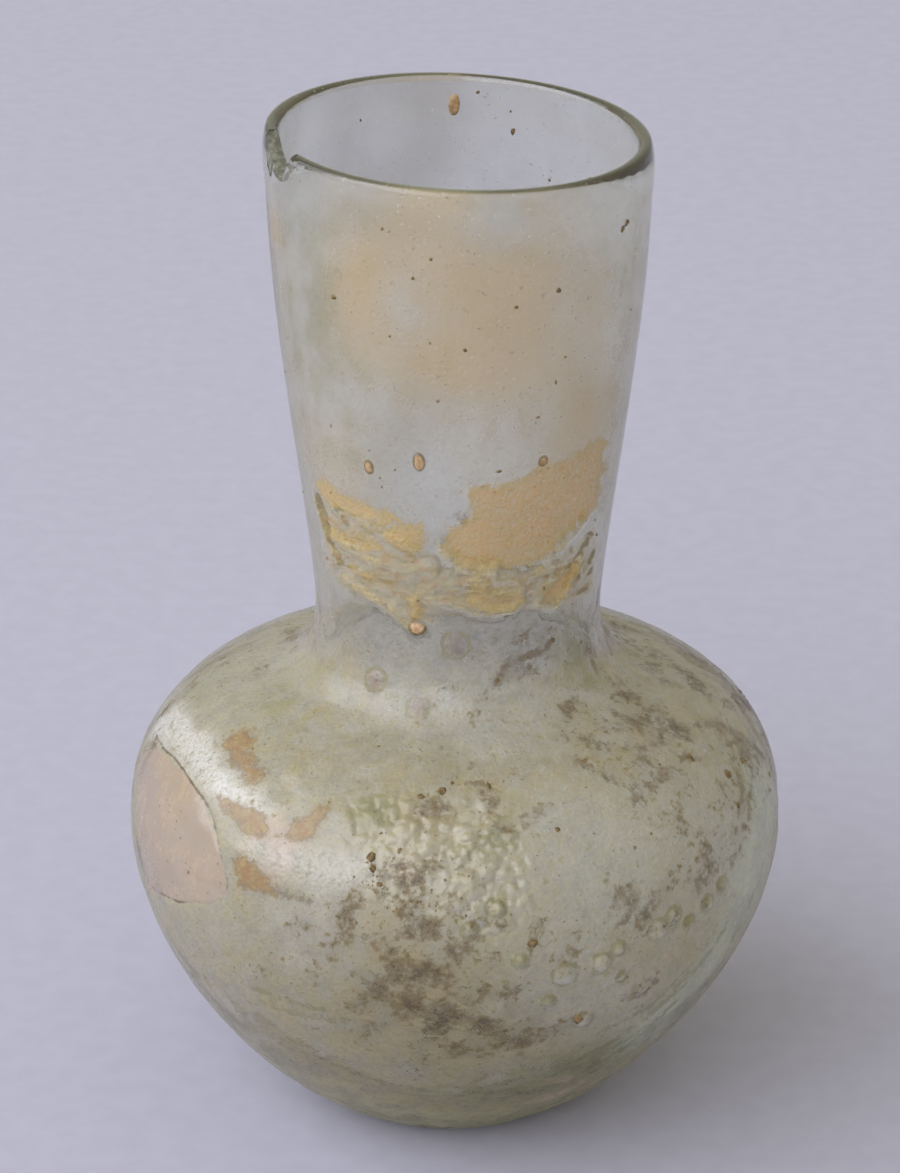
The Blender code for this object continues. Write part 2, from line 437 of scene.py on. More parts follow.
NEAR = 1.0  # mm round the relief in which the mesh is cut finer too

# %% Cut the mesh finer where the relief is fine
def near_relief(places):
    """Which points lie where the relief is fine, and which where it is finest."""
    belt = inside_of(places, CRINKLED_BELT) > -NEAR
    field = inside_of(places, CRUMPLED_FIELD) > -NEAR
    groove = away_from_line(places, HAIRLINE) < 0.8 * NEAR * MM
    domes = np.zeros(len(places), bool)
    for pixel, radius in (BLISTERS | FAINT_BLISTERS).items():
        domes |= away_from(places, on_glass(pixel)) < (radius + 0.5 * NEAR) * MM
    return belt | field | groove | domes, field | groove | domes


def cut_finer(mesh, chosen):
    """Halves the edges between chosen points. The new points keep their length along."""
    shape = bmesh.new()
    shape.from_mesh(mesh)
    shape.verts.ensure_lookup_table()
    edges = [edge for edge in shape.edges if all(chosen[v.index] for v in edge.verts)]
    bmesh.ops.subdivide_edges(shape, edges=edges, cuts=1, use_grid_fill=True)
    shape.to_mesh(mesh)
    shape.free()


for level in range(2):
    chosen = near_relief(places_of(wall))[level] & (values_of(wall, "along") < lip_along)
    cut_finer(wall, chosen)
print("wall, cut finer:", len(wall.vertices), "points,", len(wall.polygons), "faces")

# %% Where each kind of relief lies
places, normals = places_of(wall), vectors_of(wall.vertex_normals, "vector")
wall_along = values_of(wall, "along")
outside = wall_along < lip_along
skin_places = places[outside]

belt = soft_inside(skin_places, CRINKLED_BELT, 2.4)
field = soft_inside(skin_places, CRUMPLED_FIELD, 5.0)
bare = soft_inside(skin_places, BARE_PATCH, 0.6)
on_neck = eased((skin_places[:, 2] / MM - 44.0) / 8.0)
lumpy = np.max([blob(skin_places, pixel, r, softness=0.9) for pixel, r in LUMPY_AREAS.items()], axis=0)
print("points in the belt, field and patch:", *(int((m > 0.5).sum()) for m in (belt, field, bare)))

# %% Add it up and move the outside
def waves_of(size, shift, height):
    """Waves of about a size, both in mm."""
    return noise_over(skin_places, size, shift=shift) * height


waves = waves_of(13.0, 0.0, 0.10) * (1.0 - 0.6 * on_neck)
ripples = (waves_of(3.6, 7.3, 0.07) + waves_of(1.7, 27.0, 0.05)) * (1.0 - on_neck)
ripples += lumpy * waves_of(1.9, 51.0, 0.34)
tool_lines = noise_over(skin_places, 1.3, stretch=(1.0, 1.0, 14.0), shift=3.1) * 0.006 * on_neck
worms = 1.0 - np.abs(noise_over(skin_places, 1.4, stretch=(2.2, 2.2, 0.8), shift=11.0)) * 3.2
lumps = 0.32 * creases_over(skin_places, 2.1, shift=5.0) + 0.20 * creases_over(skin_places, 1.1, shift=2.0)
pits = np.clip(waves_of(0.8, 17.0, 2.0) - 0.2, 0.0, 1.0)
heights = waves + ripples + tool_lines
heights += belt * np.clip(worms, -0.2, 1.0) * 0.26
heights += field * (lumps - 0.18 - pits * 0.12)
heights = (heights * (1.0 - bare) + bare * waves) * MM
unround = out_of_round(skin_places)
for blisters, dome in ((BLISTERS, BLISTER_HEIGHT), (FAINT_BLISTERS, FAINT_HEIGHT)):
    for pixel, radius in blisters.items():
        away = away_from(skin_places, on_glass(pixel)) * unround
        heights += dome * (1.0 - np.clip(away / (radius * MM), 0.0, 1.0) ** 2) ** 1.5
ridge_away = nearest_line(skin_places, YELLOW_RIDGES) * MM
heights += RIDGE_HEIGHT * (1.0 - eased(ridge_away / RIDGE_WIDTH))
groove_away = away_from_line(skin_places, HAIRLINE)
heights -= GROOVE_DEPTH * (1.0 - eased(groove_away / GROOVE_WIDTH))
heights *= eased(wall_along[outside] / (4.0 * MM) - 2.5)  # none on the ring it stands on
places[outside] += normals[outside] * heights[:, None]
move_to(wall, places)
print("relief, mm:", (heights.min() / MM).round(2), "to", (heights.max() / MM).round(2))

# %% [markdown]
# ## The chip in the lip
#
# Glass breaks in shells: a blow leaves a wedge-shaped gap in the lip and, below it, a
# scooped scar with ripples running out from where it was struck. Both are cut from the
# finished wall with a Boolean, because a broken edge has to be sharp, which no pushed
# point can be. The cutters have wavy faces, so the break isn't a flat saw cut.

# %% Where the lip is broken
CHIP_BEARING = math.radians(207.0)
CHIP_DEPTH = 2.7 * MM
CHIP_LONG_SIDE = 5.2 * MM
CHIP_SHORT_SIDE = 1.4 * MM
SPALL_BEARING = math.radians(199.0)
SPALL_DEPTH = 0.55 * MM
SPALL_WIDTH = 6.0 * MM
SPALL_HEIGHT = 9.0 * MM
RIPPLES, RIPPLE_DEPTH, ROUGHNESS = 26.0, 0.035, 0.05  # for a scoop of radius 1
LIP_RADIUS = 16.3 * MM


def outwards_at(bearing):
    return Vector((math.cos(bearing), math.sin(bearing), 0.0))


def lip_spot(bearing):
    """A point on the outer edge of the lip as it was set by hand."""
    out = outwards_at(bearing) * LIP_RADIUS
    (spot,) = set_by_hand(np.array([(out.x, out.y, FLASK_HEIGHT)]))
    return Vector(spot)


def roughened(shape, size, depth):
    """Pushes the points of a cutter to and fro, so that what it cuts isn't flat."""
    for vertex in shape.verts:
        vertex.co += noise.noise_vector(vertex.co / size) * depth


# %% Shape the two cutters
CUTTER_REACH = 3.5 * MM  # well past the wall, inwards and outwards
SLOPE_STEPS, CUTTER_SLICES = 10, 14


def chip_cutter():
    """A wedge with a long hollow slope on one side and a steep one on the other."""
    shape = bmesh.new()
    shares = [step / SLOPE_STEPS for step in range(SLOPE_STEPS)]
    slope = [(-CHIP_LONG_SIDE * (1 - t), -CHIP_DEPTH * math.sin(t * math.pi / 2)) for t in shares]
    steep = [(0.0, -CHIP_DEPTH), (CHIP_SHORT_SIDE * 0.35, -CHIP_DEPTH * 0.62), (CHIP_SHORT_SIDE, 0.0)]
    top = [(CHIP_SHORT_SIDE * 2, CHIP_DEPTH), (-CHIP_LONG_SIDE * 2, CHIP_DEPTH)]
    corners = [shape.verts.new((along, up, -CUTTER_REACH)) for along, up in slope + steep + top]
    face = shape.faces.new(corners)
    bmesh.ops.spin(
        shape,
        geom=[face],
        cent=(0, 0, 0),
        dvec=(0, 0, 2 * CUTTER_REACH / CUTTER_SLICES),
        axis=(0, 0, 1),
        angle=0.0,
        steps=CUTTER_SLICES,
        use_duplicate=False,
    )
    bmesh.ops.remove_doubles(shape, verts=shape.verts, dist=SAME_PLACE)
    slices = [face for face in shape.faces if len(face.verts) > 4]
    slices.sort(key=lambda face: face.calc_center_median().z)
    bmesh.ops.delete(shape, geom=slices[1:-1], context="FACES_ONLY")
    bmesh.ops.triangulate(shape, faces=[slices[0], slices[-1]])
    roughened(shape, 1.6 * MM, 0.22 * MM)
    outwards, up = outwards_at(CHIP_BEARING), Vector((0.0, 0.0, 1.0))
    turn = Matrix((up.cross(outwards), up, outwards)).transposed().to_4x4()
    place = Matrix.Translation(lip_spot(CHIP_BEARING)) @ turn
    bmesh.ops.transform(shape, matrix=place, verts=shape.verts)
    return shape


def spall_cutter():
    """A shallow scoop whose ripples run out from the lip, as in a broken shell of glass."""
    shape = bmesh.new()
    bmesh.ops.create_icosphere(shape, subdivisions=6, radius=1.0)
    deep = SPALL_WIDTH / 2
    struck = Vector((0.0, 0.3, 0.55))
    for vertex in shape.verts:
        ripple = math.sin((vertex.co - struck).length * RIPPLES) * RIPPLE_DEPTH
        rough = noise.noise(vertex.co * 3.5) * ROUGHNESS
        vertex.co *= 1.0 + ripple + rough
    bmesh.ops.scale(shape, vec=(deep, SPALL_WIDTH / 2, SPALL_HEIGHT / 2), verts=shape.verts)
    middle = lip_spot(SPALL_BEARING)
    middle += outwards_at(SPALL_BEARING) * (deep - SPALL_DEPTH)
    place = Matrix.Translation(middle) @ Matrix.Rotation(SPALL_BEARING, 4, "Z")
    bmesh.ops.transform(shape, matrix=place, verts=shape.verts)
    return shape


# %% Cut them out of the wall
LEAST_LEFT = 0.95  # of the wall's points, so that a cut that went wrong is never shown


def finished(source, name):
    """The evaluated shape of an object as a mesh of its own. The object is removed."""
    bpy.context.view_layer.update()
    graph = bpy.context.evaluated_depsgraph_get()
    mesh = bpy.data.meshes.new_from_object(source.evaluated_get(graph))
    mesh.name = name
    bpy.data.objects.remove(source)
    return mesh


whole_wall = linked(wall, "glass_wall")
breaks = []
for shape, name in ((chip_cutter(), "chip_cutter"), (spall_cutter(), "spall_cutter")):
    bmesh.ops.recalc_face_normals(shape, faces=shape.faces)
    cutter = linked(as_mesh(shape, name), name)
    breaks.append(cutter)
    cut = whole_wall.modifiers.new(name, "BOOLEAN")
    cut.operation = "DIFFERENCE"
    cut.solver = "MANIFOLD"  # for closed shapes, and the same on every run
    cut.object = cutter
glass = linked(finished(whole_wall, "flask_glass"), "flask_glass")
for cutter in breaks:
    bpy.data.objects.remove(cutter)
if len(glass.data.vertices) < LEAST_LEFT * len(wall.vertices):
    raise RuntimeError("the cut took away far more than the chip")
print("glass:", len(glass.data.vertices), "points after the chip")

# %% [markdown]
# ## Tools for building finishes
#
# The finishes below are made of nodes, so that their patterns have detail at any distance
# and follow the glass on every side. A few short helpers keep each finish readable: one
# adds a node, one joins it up, and the rest are the steps that come back everywhere, such
# as noise, a soft threshold, or laying one colour over another.

# %% Short ways to add nodes
def srgb(red, green, blue):
    """A colour as a painter reads it off a screen, from 0 to 255, made linear."""
    values = np.array((red, green, blue)) / 255.0
    linear = np.where(values > 0.04045, ((values + 0.055) / 1.055) ** 2.4, values / 12.92)
    return (*linear.tolist(), 1.0)


class Finish:
    """A material that is built up node by node."""

    def __init__(self, name):
        self.material = bpy.data.materials.new(name)
        self.material.use_nodes = True
        self.tree = self.material.node_tree
        self.shader = self.tree.nodes["Principled BSDF"]

    def node(self, kind, inputs=(), **settings):
        node = self.tree.nodes.new("ShaderNode" + kind)
        for setting, value in settings.items():
            setattr(node, setting, value)
        for socket, value in dict(inputs).items():
            self.join(value, node.inputs[socket])
        return node

    def join(self, value, socket):
        """Joins an output to a socket, or sets the socket to a plain value."""
        if isinstance(value, bpy.types.NodeSocket):
            self.tree.links.new(value, socket)
        else:
            socket.default_value = value

    def set(self, **sockets):
        for name, value in sockets.items():
            self.join(value, self.shader.inputs[name.replace("_", " ")])

    def maths(self, operation, *values):
        inputs = dict(enumerate(values))
        return self.node("Math", inputs, operation=operation).outputs[0]

    def times(self, *values):
        product = values[0]
        for value in values[1:]:
            product = self.maths("MULTIPLY", product, value)
        return product

    def most_of(self, *values):
        largest = values[0]
        for value in values[1:]:
            largest = self.maths("MAXIMUM", largest, value)
        return largest

    def painted(self, name):
        """A value that was painted on the points of the mesh."""
        return self.node("Attribute", attribute_name=name).outputs["Fac"]

    def places(self, stretch=(1.0, 1.0, 1.0), shift=0.0):
        """Places on the piece in mm, so that a noise scale of 1 has features of about 1 mm."""
        where = self.node("TexCoord").outputs["Object"]
        scale = [1000.0 / amount for amount in stretch]
        inputs = {"Vector": where, "Scale": scale, "Location": (shift, shift, shift)}
        return self.node("Mapping", inputs).outputs[0]

    def noise(self, size, detail=3.0, rough=0.5, stretch=(1.0, 1.0, 1.0), shift=0.0):
        """Noise of about 0 to 1, with features of about size mm."""
        inputs = {
            "Vector": self.places(stretch, shift),
            "Scale": 1.0 / size,
            "Detail": detail,
            "Roughness": rough,
        }
        return self.node("TexNoise", inputs).outputs[0]

    def step(self, value, start, end, low=0.0, high=1.0):
        """Goes smoothly from low at start to high at end, and stays there."""
        inputs = {"Value": value, "From Min": start, "From Max": end, "To Min": low, "To Max": high}
        return self.node("MapRange", inputs, interpolation_type="SMOOTHSTEP").outputs[0]

    def over(self, share, under, upper):
        """Lays an upper colour over another one, by a share."""
        mix = self.node("Mix", data_type="RGBA")
        for index, value in ((0, share), (6, under), (7, upper)):
            self.join(value, mix.inputs[index])
        return mix.outputs[2]

    def either(self, share, under, upper):
        """The same for plain numbers."""
        mix = self.node("Mix", {0: share, 2: under, 3: upper}, data_type="FLOAT")
        return mix.outputs[0]


# %% [markdown]
# ## Clear glass
#
# The wall itself is plain clear glass: it lets light through and bends it. It is left
# perfectly smooth, because what dulls the flask is the skin on it. Its values are plain
# numbers, so that any other program reads them as glass too. The pale green comes from iron
# in the sand, and shows most where the light runs along the wall, at the lip and near the
# edges.

# %% Finish the glass
SHARP_ANGLE = math.radians(35.0)
CLEAR = (0.985, 0.995, 0.97, 1.0)
IRON_GREEN = (0.56, 0.80, 0.30, 1.0)
GREEN_DENSITY = 28.0


def dress(piece, finish):
    """Gives a piece its finish, smooth shading and the body that it moves with."""
    piece.data.materials.clear()
    piece.data.materials.append(finish.material)
    piece.data.shade_smooth()
    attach(piece, "root")


pale_glass = Finish("pale_green_glass")
pale_glass.set(Base_Color=CLEAR, Roughness=0.0, IOR=1.5, Transmission_Weight=1.0)
absorption = pale_glass.node("VolumeAbsorption", {"Color": IRON_GREEN, "Density": GREEN_DENSITY})
output = pale_glass.tree.nodes["Material Output"]
pale_glass.tree.links.new(absorption.outputs[0], output.inputs["Volume"])

dress(glass, pale_glass)
glass.data.set_sharp_from_angle(angle=SHARP_ANGLE)
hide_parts("flask")

# %% [markdown]
# ## The skin of decay, and what is painted on it
#
# Water in the soil draws the soda out of old glass and leaves a thin, brittle, milky skin,
# with soil under and over it. It is made as its own sheet, a hair's breadth off the glass.
# Its finish reads values that are painted on its points: how strong each veil of colour is
# there, and how far inside or outside each stain a point lies, in mm. The finish makes the
# edges of the stains ragged with noise, so they are much finer than the mesh.

# %% Lift a sheet off the outside of the glass
SKIN_GAP = 0.07 * MM
BROKEN_OFF = 0.02 * MM  # a point this far from the glass that is left was broken off
RUBBED_OFF = 0.15 * MM  # below this height the skin is worn off the ring it stands on
OVER_THE_LIP = 1.3 * MM  # how far the skin goes on, past the top of the lip

glass_surface = BVHTree.FromObject(glass, bpy.context.evaluated_depsgraph_get())


def as_piece(shape, name):
    """A new object from a bmesh whose faces already point the right way."""
    return linked(as_mesh(shape, name), name)


def lifted_skin(mesh, name):
    """A copy of the outside as an open sheet, without what was broken out of the lip."""
    shape = bmesh.new()
    shape.from_mesh(mesh)
    shape.normal_update()
    length = shape.verts.layers.float["along"]
    gone = []
    for vertex in shape.verts:
        _, _, _, distance = glass_surface.find_nearest(vertex.co)
        broken = vertex[length] > lip_along + OVER_THE_LIP or distance > BROKEN_OFF
        if broken or vertex.co.z < RUBBED_OFF:
            gone.append(vertex)
    bmesh.ops.delete(shape, geom=gone, context="VERTS")
    for vertex in shape.verts:
        vertex.co += vertex.normal * SKIN_GAP
    return as_piece(shape, name)


skin = lifted_skin(wall, "weathering_skin")
print("skin:", len(skin.data.vertices), "points,", len(skin.data.polygons), "faces")

# %% [markdown]
# ## Where the stains are
#
# The stains have outlines that can be followed in the photo: tan soil round the bottom of
# the neck, orange flakes and a bare patch on the left shoulder, a brown web on the front.
# Each is an outline or a line of a few pixels, carried to the glass. Round the back, which
# the photo doesn't show, a calmer mix of the same things is laid by noise alone.

# %% Outlines of the stains
TAN_STAINS = [
    [
        (465, 487), (475, 483), (512, 482), (528, 473), (542, 463), (556, 460), (572, 452),
        (586, 444), (597, 434), (608, 443), (600, 456), (607, 467), (597, 481), (601, 495),
        (590, 514), (568, 530), (554, 548),
        (540, 560), (519, 567), (494, 569), (477, 572), (464, 567), (450, 558), (442, 546),
        (445, 537), (451, 526), (464, 521), (472, 512), (468, 498),
    ],
    [
        (314, 478), (323, 477), (336, 488), (356, 498), (379, 507), (395, 513), (400, 520),
        (385, 525), (366, 519), (345, 511), (326, 504),
    ],
    [(382, 529), (402, 523), (423, 523), (428, 533), (423, 548), (409, 556), (394, 545)],
    [(330, 526), (352, 531), (374, 538), (390, 549), (376, 551), (352, 545), (335, 539)],
    [(352, 566), (376, 572), (398, 580), (392, 588), (368, 582)],
    [(404, 596), (420, 592), (426, 612), (414, 620)],
    [(464, 602), (470, 582), (487, 578), (500, 592), (519, 588), (523, 600), (512, 609),
     (490, 612)],
    [(538, 602), (541, 588), (553, 577), (566, 566), (578, 556), (573, 576), (562, 594),
     (552, 603)],
]
FLAKES = [
    [(235, 733), (249, 731), (258, 736), (249, 750), (258, 764), (268, 773), (265, 782), (249, 784),
     (239, 770), (232, 759), (223, 745)],
    [(214, 796), (228, 799), (249, 805), (267, 814), (271, 837), (258, 836), (244, 828), (228, 815)],
    [(281, 835), (299, 821), (315, 810), (329, 806), (330, 812), (320, 823), (317, 835), (304, 844)],
    [(232, 851), (242, 853), (258, 865), (269, 876), (281, 888), (285, 893), (262, 892), (249, 890),
     (242, 888), (239, 874)],
]
VEINS = [
    [(553, 639), (545, 648), (532, 654), (521, 657), (508, 664), (502, 672), (495, 684)],
    [(436, 1000), (447, 1004), (458, 1012), (469, 1016), (493, 1030), (509, 1039), (532, 1041)],
    [(575, 759), (584, 766), (596, 772), (604, 777), (617, 784)],
    [(680, 759), (690, 757), (700, 761)],
    [(690, 728), (715, 724), (734, 731), (750, 745), (764, 757)],
    [(636, 886), (634, 898), (628, 912), (618, 924)],
    [(649, 984), (642, 992), (630, 998), (619, 996)],
    [(656, 972), (652, 984), (645, 990)],
    [(285, 892), (297, 897), (312, 901)],
    [(735, 772), (741, 786), (740, 800), (738, 812)],
    [(612, 712), (634, 722), (642, 736)],
    [(455, 780), (470, 786), (484, 784)],
    [(137, 832), (141, 850), (150, 881)],
]
FLOW_LINES = [
    [(520, 1092), (566, 1080), (606, 1058), (642, 1032), (676, 998)],
    [(538, 1068), (580, 1056), (618, 1036), (654, 1008), (690, 970)],
    [(640, 1020), (672, 994), (706, 954), (732, 910)],
    [(600, 1030), (650, 1004), (688, 966), (714, 926)],
    [(300, 1040), (340, 1066), (392, 1084), (450, 1092)],
    [(250, 985), (284, 1000), (322, 1008)],
    [(262, 1000), (300, 1014), (344, 1020)],
]
# A band of pearly skin on the left shoulder, with a painted highlight of the windows on the left laid into
# its colour.
PEARL_AND_HIGHLIGHT = [
    (152, 738), (162, 716), (184, 704), (214, 738), (236, 782), (262, 798), (276, 812), (250, 818),
    (226, 808), (204, 788), (174, 750),
]
# Its fainter run to the right, likewise pearly skin with a painted highlight.
FAINT_PEARL_AND_HIGHLIGHT = [
    (232, 842), (262, 838), (292, 846), (330, 848), (376, 858), (386, 882), (322, 894), (284, 876),
    (246, 858),
]
print("outlines:", len(TAN_STAINS) + len(FLAKES), " lines:", len(YELLOW_RIDGES) + len(VEINS))

# %% Soft patches, as pixel of the photo: radius in mm and strength
WARM_VEIL = {
    (520, 290): (9.0, 0.5), (545, 385): (8.5, 0.55), (450, 235): (8.0, 0.4), (345, 350): (7.5, 0.55),
    (425, 290): (8.0, 0.45), (590, 440): (5.0, 0.6), (330, 470): (4.0, 0.4), (390, 235): (6.0, 0.25),
    (454, 228): (1.1, 0.6), (525, 208): (0.7, 0.6), (276, 226): (1.6, 0.7), (530, 340): (5.0, 0.3),
}
# Mostly silvery skin. The patch at (720, 855) is painted light, making the shaded right side paler.
SILVER_AND_PAINTED_LIGHT_AREAS = {
    (430, 480): (3.6, 1.0), (450, 540): (2.4, 0.8), (440, 680): (5.2, 0.8), (500, 715): (5.2, 0.9),
    (390, 640): (3.6, 0.6), (300, 935): (4.2, 0.8), (340, 870): (3.0, 0.4), (640, 860): (7.0, 0.35),
    (545, 995): (4.2, 0.8), (620, 1010): (4.6, 0.7), (590, 880): (5.0, 0.6), (700, 800): (4.2, 0.5),
    (470, 900): (4.6, 0.6), (250, 1030): (4.2, 0.4), (560, 835): (3.0, 0.7), (360, 745): (4.0, 0.4),
    (520, 645): (3.6, 0.9), (720, 855): (4.0, 0.7), (240, 670): (6.0, 0.6), (530, 610): (3.0, 0.5),
    (410, 655): (3.0, 0.5),
}
OLIVE_AREAS = {
    (330, 740): (7.0, 0.5), (420, 760): (6.5, 0.6), (520, 770): (6.5, 0.7), (650, 690): (6.5, 0.7),
    (300, 1010): (6.5, 0.5), (400, 1070): (9.0, 0.6), (540, 1080): (8.0, 0.7), (330, 650): (4.0, 0.3),
    (700, 740): (6.5, 0.7), (480, 1010): (6.5, 0.6), (260, 930): (4.2, 0.5), (610, 760): (5.0, 0.5),
    (380, 960): (5.0, 0.4), (680, 960): (5.0, 0.4),
}
# Mostly a green tint of the skin. Patches along the edges of the neck, such as at (322, 340) and (318, 235),
# also darken those edges as painted shade.
GREEN_AND_PAINTED_SHADE_AREAS = {
    (560, 1070): (3.6, 1.0), (610, 1055): (3.0, 0.9), (520, 1085): (3.6, 0.8), (450, 1092): (4.0, 0.5),
    (372, 812): (1.8, 0.9),
    (290, 690): (3.6, 0.3), (200, 700): (3.2, 0.25), (430, 798): (1.4, 0.7), (575, 650): (2.2, 0.6),
    (590, 610): (2.0, 0.5), (520, 830): (2.2, 0.4), (470, 845): (2.2, 0.5), (656, 948): (1.6, 0.6),
    (348, 962): (1.6, 0.5), (595, 690): (2.2, 0.4), (322, 340): (4.5, 0.65), (318, 235): (4.5, 0.7),
    (332, 430): (3.5, 0.4), (622, 300): (3.0, 0.4), (612, 400): (3.0, 0.35), (650, 880): (3.0, 0.3),
}
# The patches at (278, 850) and (660, 950) are painted highlights, in a pinkish colour.
PINK_AND_HIGHLIGHT_AREAS = {(278, 850): (2.2, 0.9), (660, 950): (1.8, 0.5), (556, 1090): (3.0, 0.4), (400, 870): (1.6, 0.6)}
SOIL = {
    (375, 930): (3.2, 1.0), (362, 905): (2.4, 0.9), (400, 885): (2.2, 0.8), (405, 960): (3.0, 0.7),
    (440, 880): (2.4, 0.5), (480, 1020): (3.8, 0.7), (420, 1020): (3.0, 0.6), (530, 1038): (2.2, 0.7),
    (350, 1000): (3.4, 0.4), (470, 960): (3.4, 0.4), (626, 905): (2.0, 0.9), (650, 925): (1.8, 0.7),
    (634, 715): (3.0, 0.8), (596, 735): (2.6, 0.5), (668, 725): (2.2, 0.8), (640, 768): (3.0, 0.6),
    (735, 745): (2.2, 0.7), (735, 800): (1.9, 0.7), (745, 775): (1.8, 0.7), (700, 690): (3.6, 0.6),
    (715, 860): (2.2, 0.4), (575, 715): (2.2, 0.5), (528, 650): (2.0, 0.5), (510, 800): (2.6, 0.5),
    (430, 800): (1.4, 0.7), (535, 940): (1.2, 0.9), (320, 940): (1.8, 0.4), (290, 985): (2.0, 0.4),
    (450, 1050): (3.2, 0.4), (640, 990): (1.4, 0.5), (480, 710): (2.6, 0.3), (655, 650): (4.0, 0.45),
    (735, 690): (3.0, 0.5), (766, 790): (1.2, 0.6), (560, 950): (1.3, 0.7), (690, 860): (3.0, 0.35),
    (440, 940): (3.0, 0.45), (395, 1000): (3.0, 0.4), (680, 810): (3.0, 0.3), (585, 650): (1.8, 0.4),
}

# %% A line down the right edge of the body, where the skin is thinner and painted paler: painted light for what shines through the glass on the shaded side
CLEAR_AND_PAINTED_LIGHT_EDGE = [(764, 800), (756, 860), (728, 935), (682, 1000), (655, 1024)]

# %% Paint them on the skin
FAR = 3.0  # mm from an edge or a line, past which nothing depends on how far it is
BACK_STARTS, BACK_FADES = 1.55, 0.3  # radians round from the side that the photo shows
BODY_ENDS, BODY_FADES = 43.0, 7.0  # mm up


def paint(name, values):
    layer = skin.data.attributes.new(name, "FLOAT", "POINT")
    layer.data.foreach_set("value", values.astype(np.float32))


def sum_of_blobs(blobs):
    """Adds up soft round marks, given as pixel: (radius in mm, strength)."""
    total = np.zeros(len(places))
    for pixel, (radius, strength) in blobs.items():
        total += blob(places, pixel, radius, softness=0.9) * strength
    return np.clip(total, 0.0, 1.0)


def behind(size, shift, strength):
    """Patches for the side that the photo doesn't show, like those on the side it does."""
    patches = 0.5 + 0.9 * noise_over(places, size, shift=shift)
    return back * np.clip(patches, 0.0, 1.0) * strength


def patchy(share):
    """Breaks a soft painted patch up, so that its edge drifts."""
    return eased((share + 0.8 * mottle - 0.1) / 0.8) * eased(share * 4.0)


places = places_of(skin.data)
round_from_front = np.abs(np.arctan2(places[:, 0], -places[:, 1]))
back = eased((round_from_front - BACK_STARTS) / BACK_FADES + 0.5)
height = places[:, 2] / MM
from_lip = (lip_along - values_of(skin.data, "along")) / MM
mottle = noise_over(places, 2.4, shift=4.0) + 0.6 * noise_over(places, 1.2, shift=6.0)
drifts = eased(0.8 + 0.9 * noise_over(places, 8.0, shift=9.0))

for name, outlines in (("tan", TAN_STAINS), ("flake", FLAKES), ("bare", [BARE_PATCH])):
    depth = np.max([inside_of(places, outline) for outline in outlines], axis=0)
    paint(name + "_inside", np.clip(depth, -FAR, FAR))
for name, lines in (("ridge", YELLOW_RIDGES), ("hairline", [HAIRLINE]), ("vein", VEINS)):
    paint(name + "_away", np.clip(nearest_line(places, lines), 0.0, FAR))
paint("clear_and_painted_light_away", nearest_line(places, [CLEAR_AND_PAINTED_LIGHT_EDGE]))

unround = out_of_round(places)
rings = [
    np.abs(away_from(places, on_glass(pixel)) * unround / MM - radius)
    for pixel, radius in (BLISTERS | FAINT_BLISTERS).items()
]
olive_lines = np.minimum(nearest_line(places, FLOW_LINES), 2.2 * np.min(rings, axis=0))
paint("olive_away", np.clip(olive_lines, 0.0, FAR))
paint("blot", sum_of_blobs({pixel: (0.75 * radius, 1.0) for pixel, radius in FAINT_BLISTERS.items()}))
# Pearly skin with a painted highlight in it, strongest in the upper band.
faint_pearl_and_highlight = 0.38 * soft_inside(places, FAINT_PEARL_AND_HIGHLIGHT, 2.4)
paint("pearl_and_highlight", np.maximum(soft_inside(places, PEARL_AND_HIGHLIGHT, 2.4), faint_pearl_and_highlight))
paint("belt", soft_inside(places, CRINKLED_BELT, 2.0))
paint("crumpled", soft_inside(places, CRUMPLED_FIELD, 5.0))

on_body = 1.0 - eased((height - BODY_ENDS) / BODY_FADES)
paint("on_body", on_body)
paint("near_foot", 1.0 - eased((height - 2.0) / 13.0))
clear_back = (1.0 - on_body) * eased(places[:, 1] / (6.0 * MM)) * 0.9
paint("near_lip", np.maximum(1.0 - eased(from_lip / 9.0), clear_back))
paint("crest", 1.0 - eased((np.abs(from_lip) - 0.1) / 0.5))
paint("mottle", eased(0.5 + 0.9 * mottle))
for name, blobs, size, shift, strength in (
    ("silver", SILVER_AND_PAINTED_LIGHT_AREAS, 9.0, 3.0, 0.6),
    ("olive", OLIVE_AREAS, 10.0, 8.0, 0.7),
    ("green", GREEN_AND_PAINTED_SHADE_AREAS, 6.0, 40.0, 0.25),
    ("pink", PINK_AND_HIGHLIGHT_AREAS, 6.0, 40.0, 0.0),
):
    paint(name, patchy(sum_of_blobs(blobs) + behind(size, shift, strength)))
soil = sum_of_blobs(SOIL) + on_body * behind(7.0, 2.0, 0.6)
torn = 1.3 * noise_over(places, 2.2, shift=33.0) * (soil > 0.0)
paint("soil", np.clip(soil, 0.0, 1.0) + torn)
veil = sum_of_blobs(WARM_VEIL) + (1.0 - on_body) * behind(9.0, 21.0, 0.6)
paint("warm_veil", veil * drifts)
print("layers painted:", len(skin.data.attributes))

# %% [markdown]
# ## The finish of the skin
#
# Seen close, the skin is never one colour. It drifts from silver to olive and is full of
# specks. Over that lie the stains, in the order in which they came: veils of colour and soil
# first, then crusts and flakes, then fine lines. Some layers are painted light and shade:
# a painted highlight in the pearly band and at two pink spots, painted light on the right edge
# and painted shade along the edges of the neck. How much the skin hides is worked out next
# to its colour, because a stain hides the glass more than the clear skin round it does.

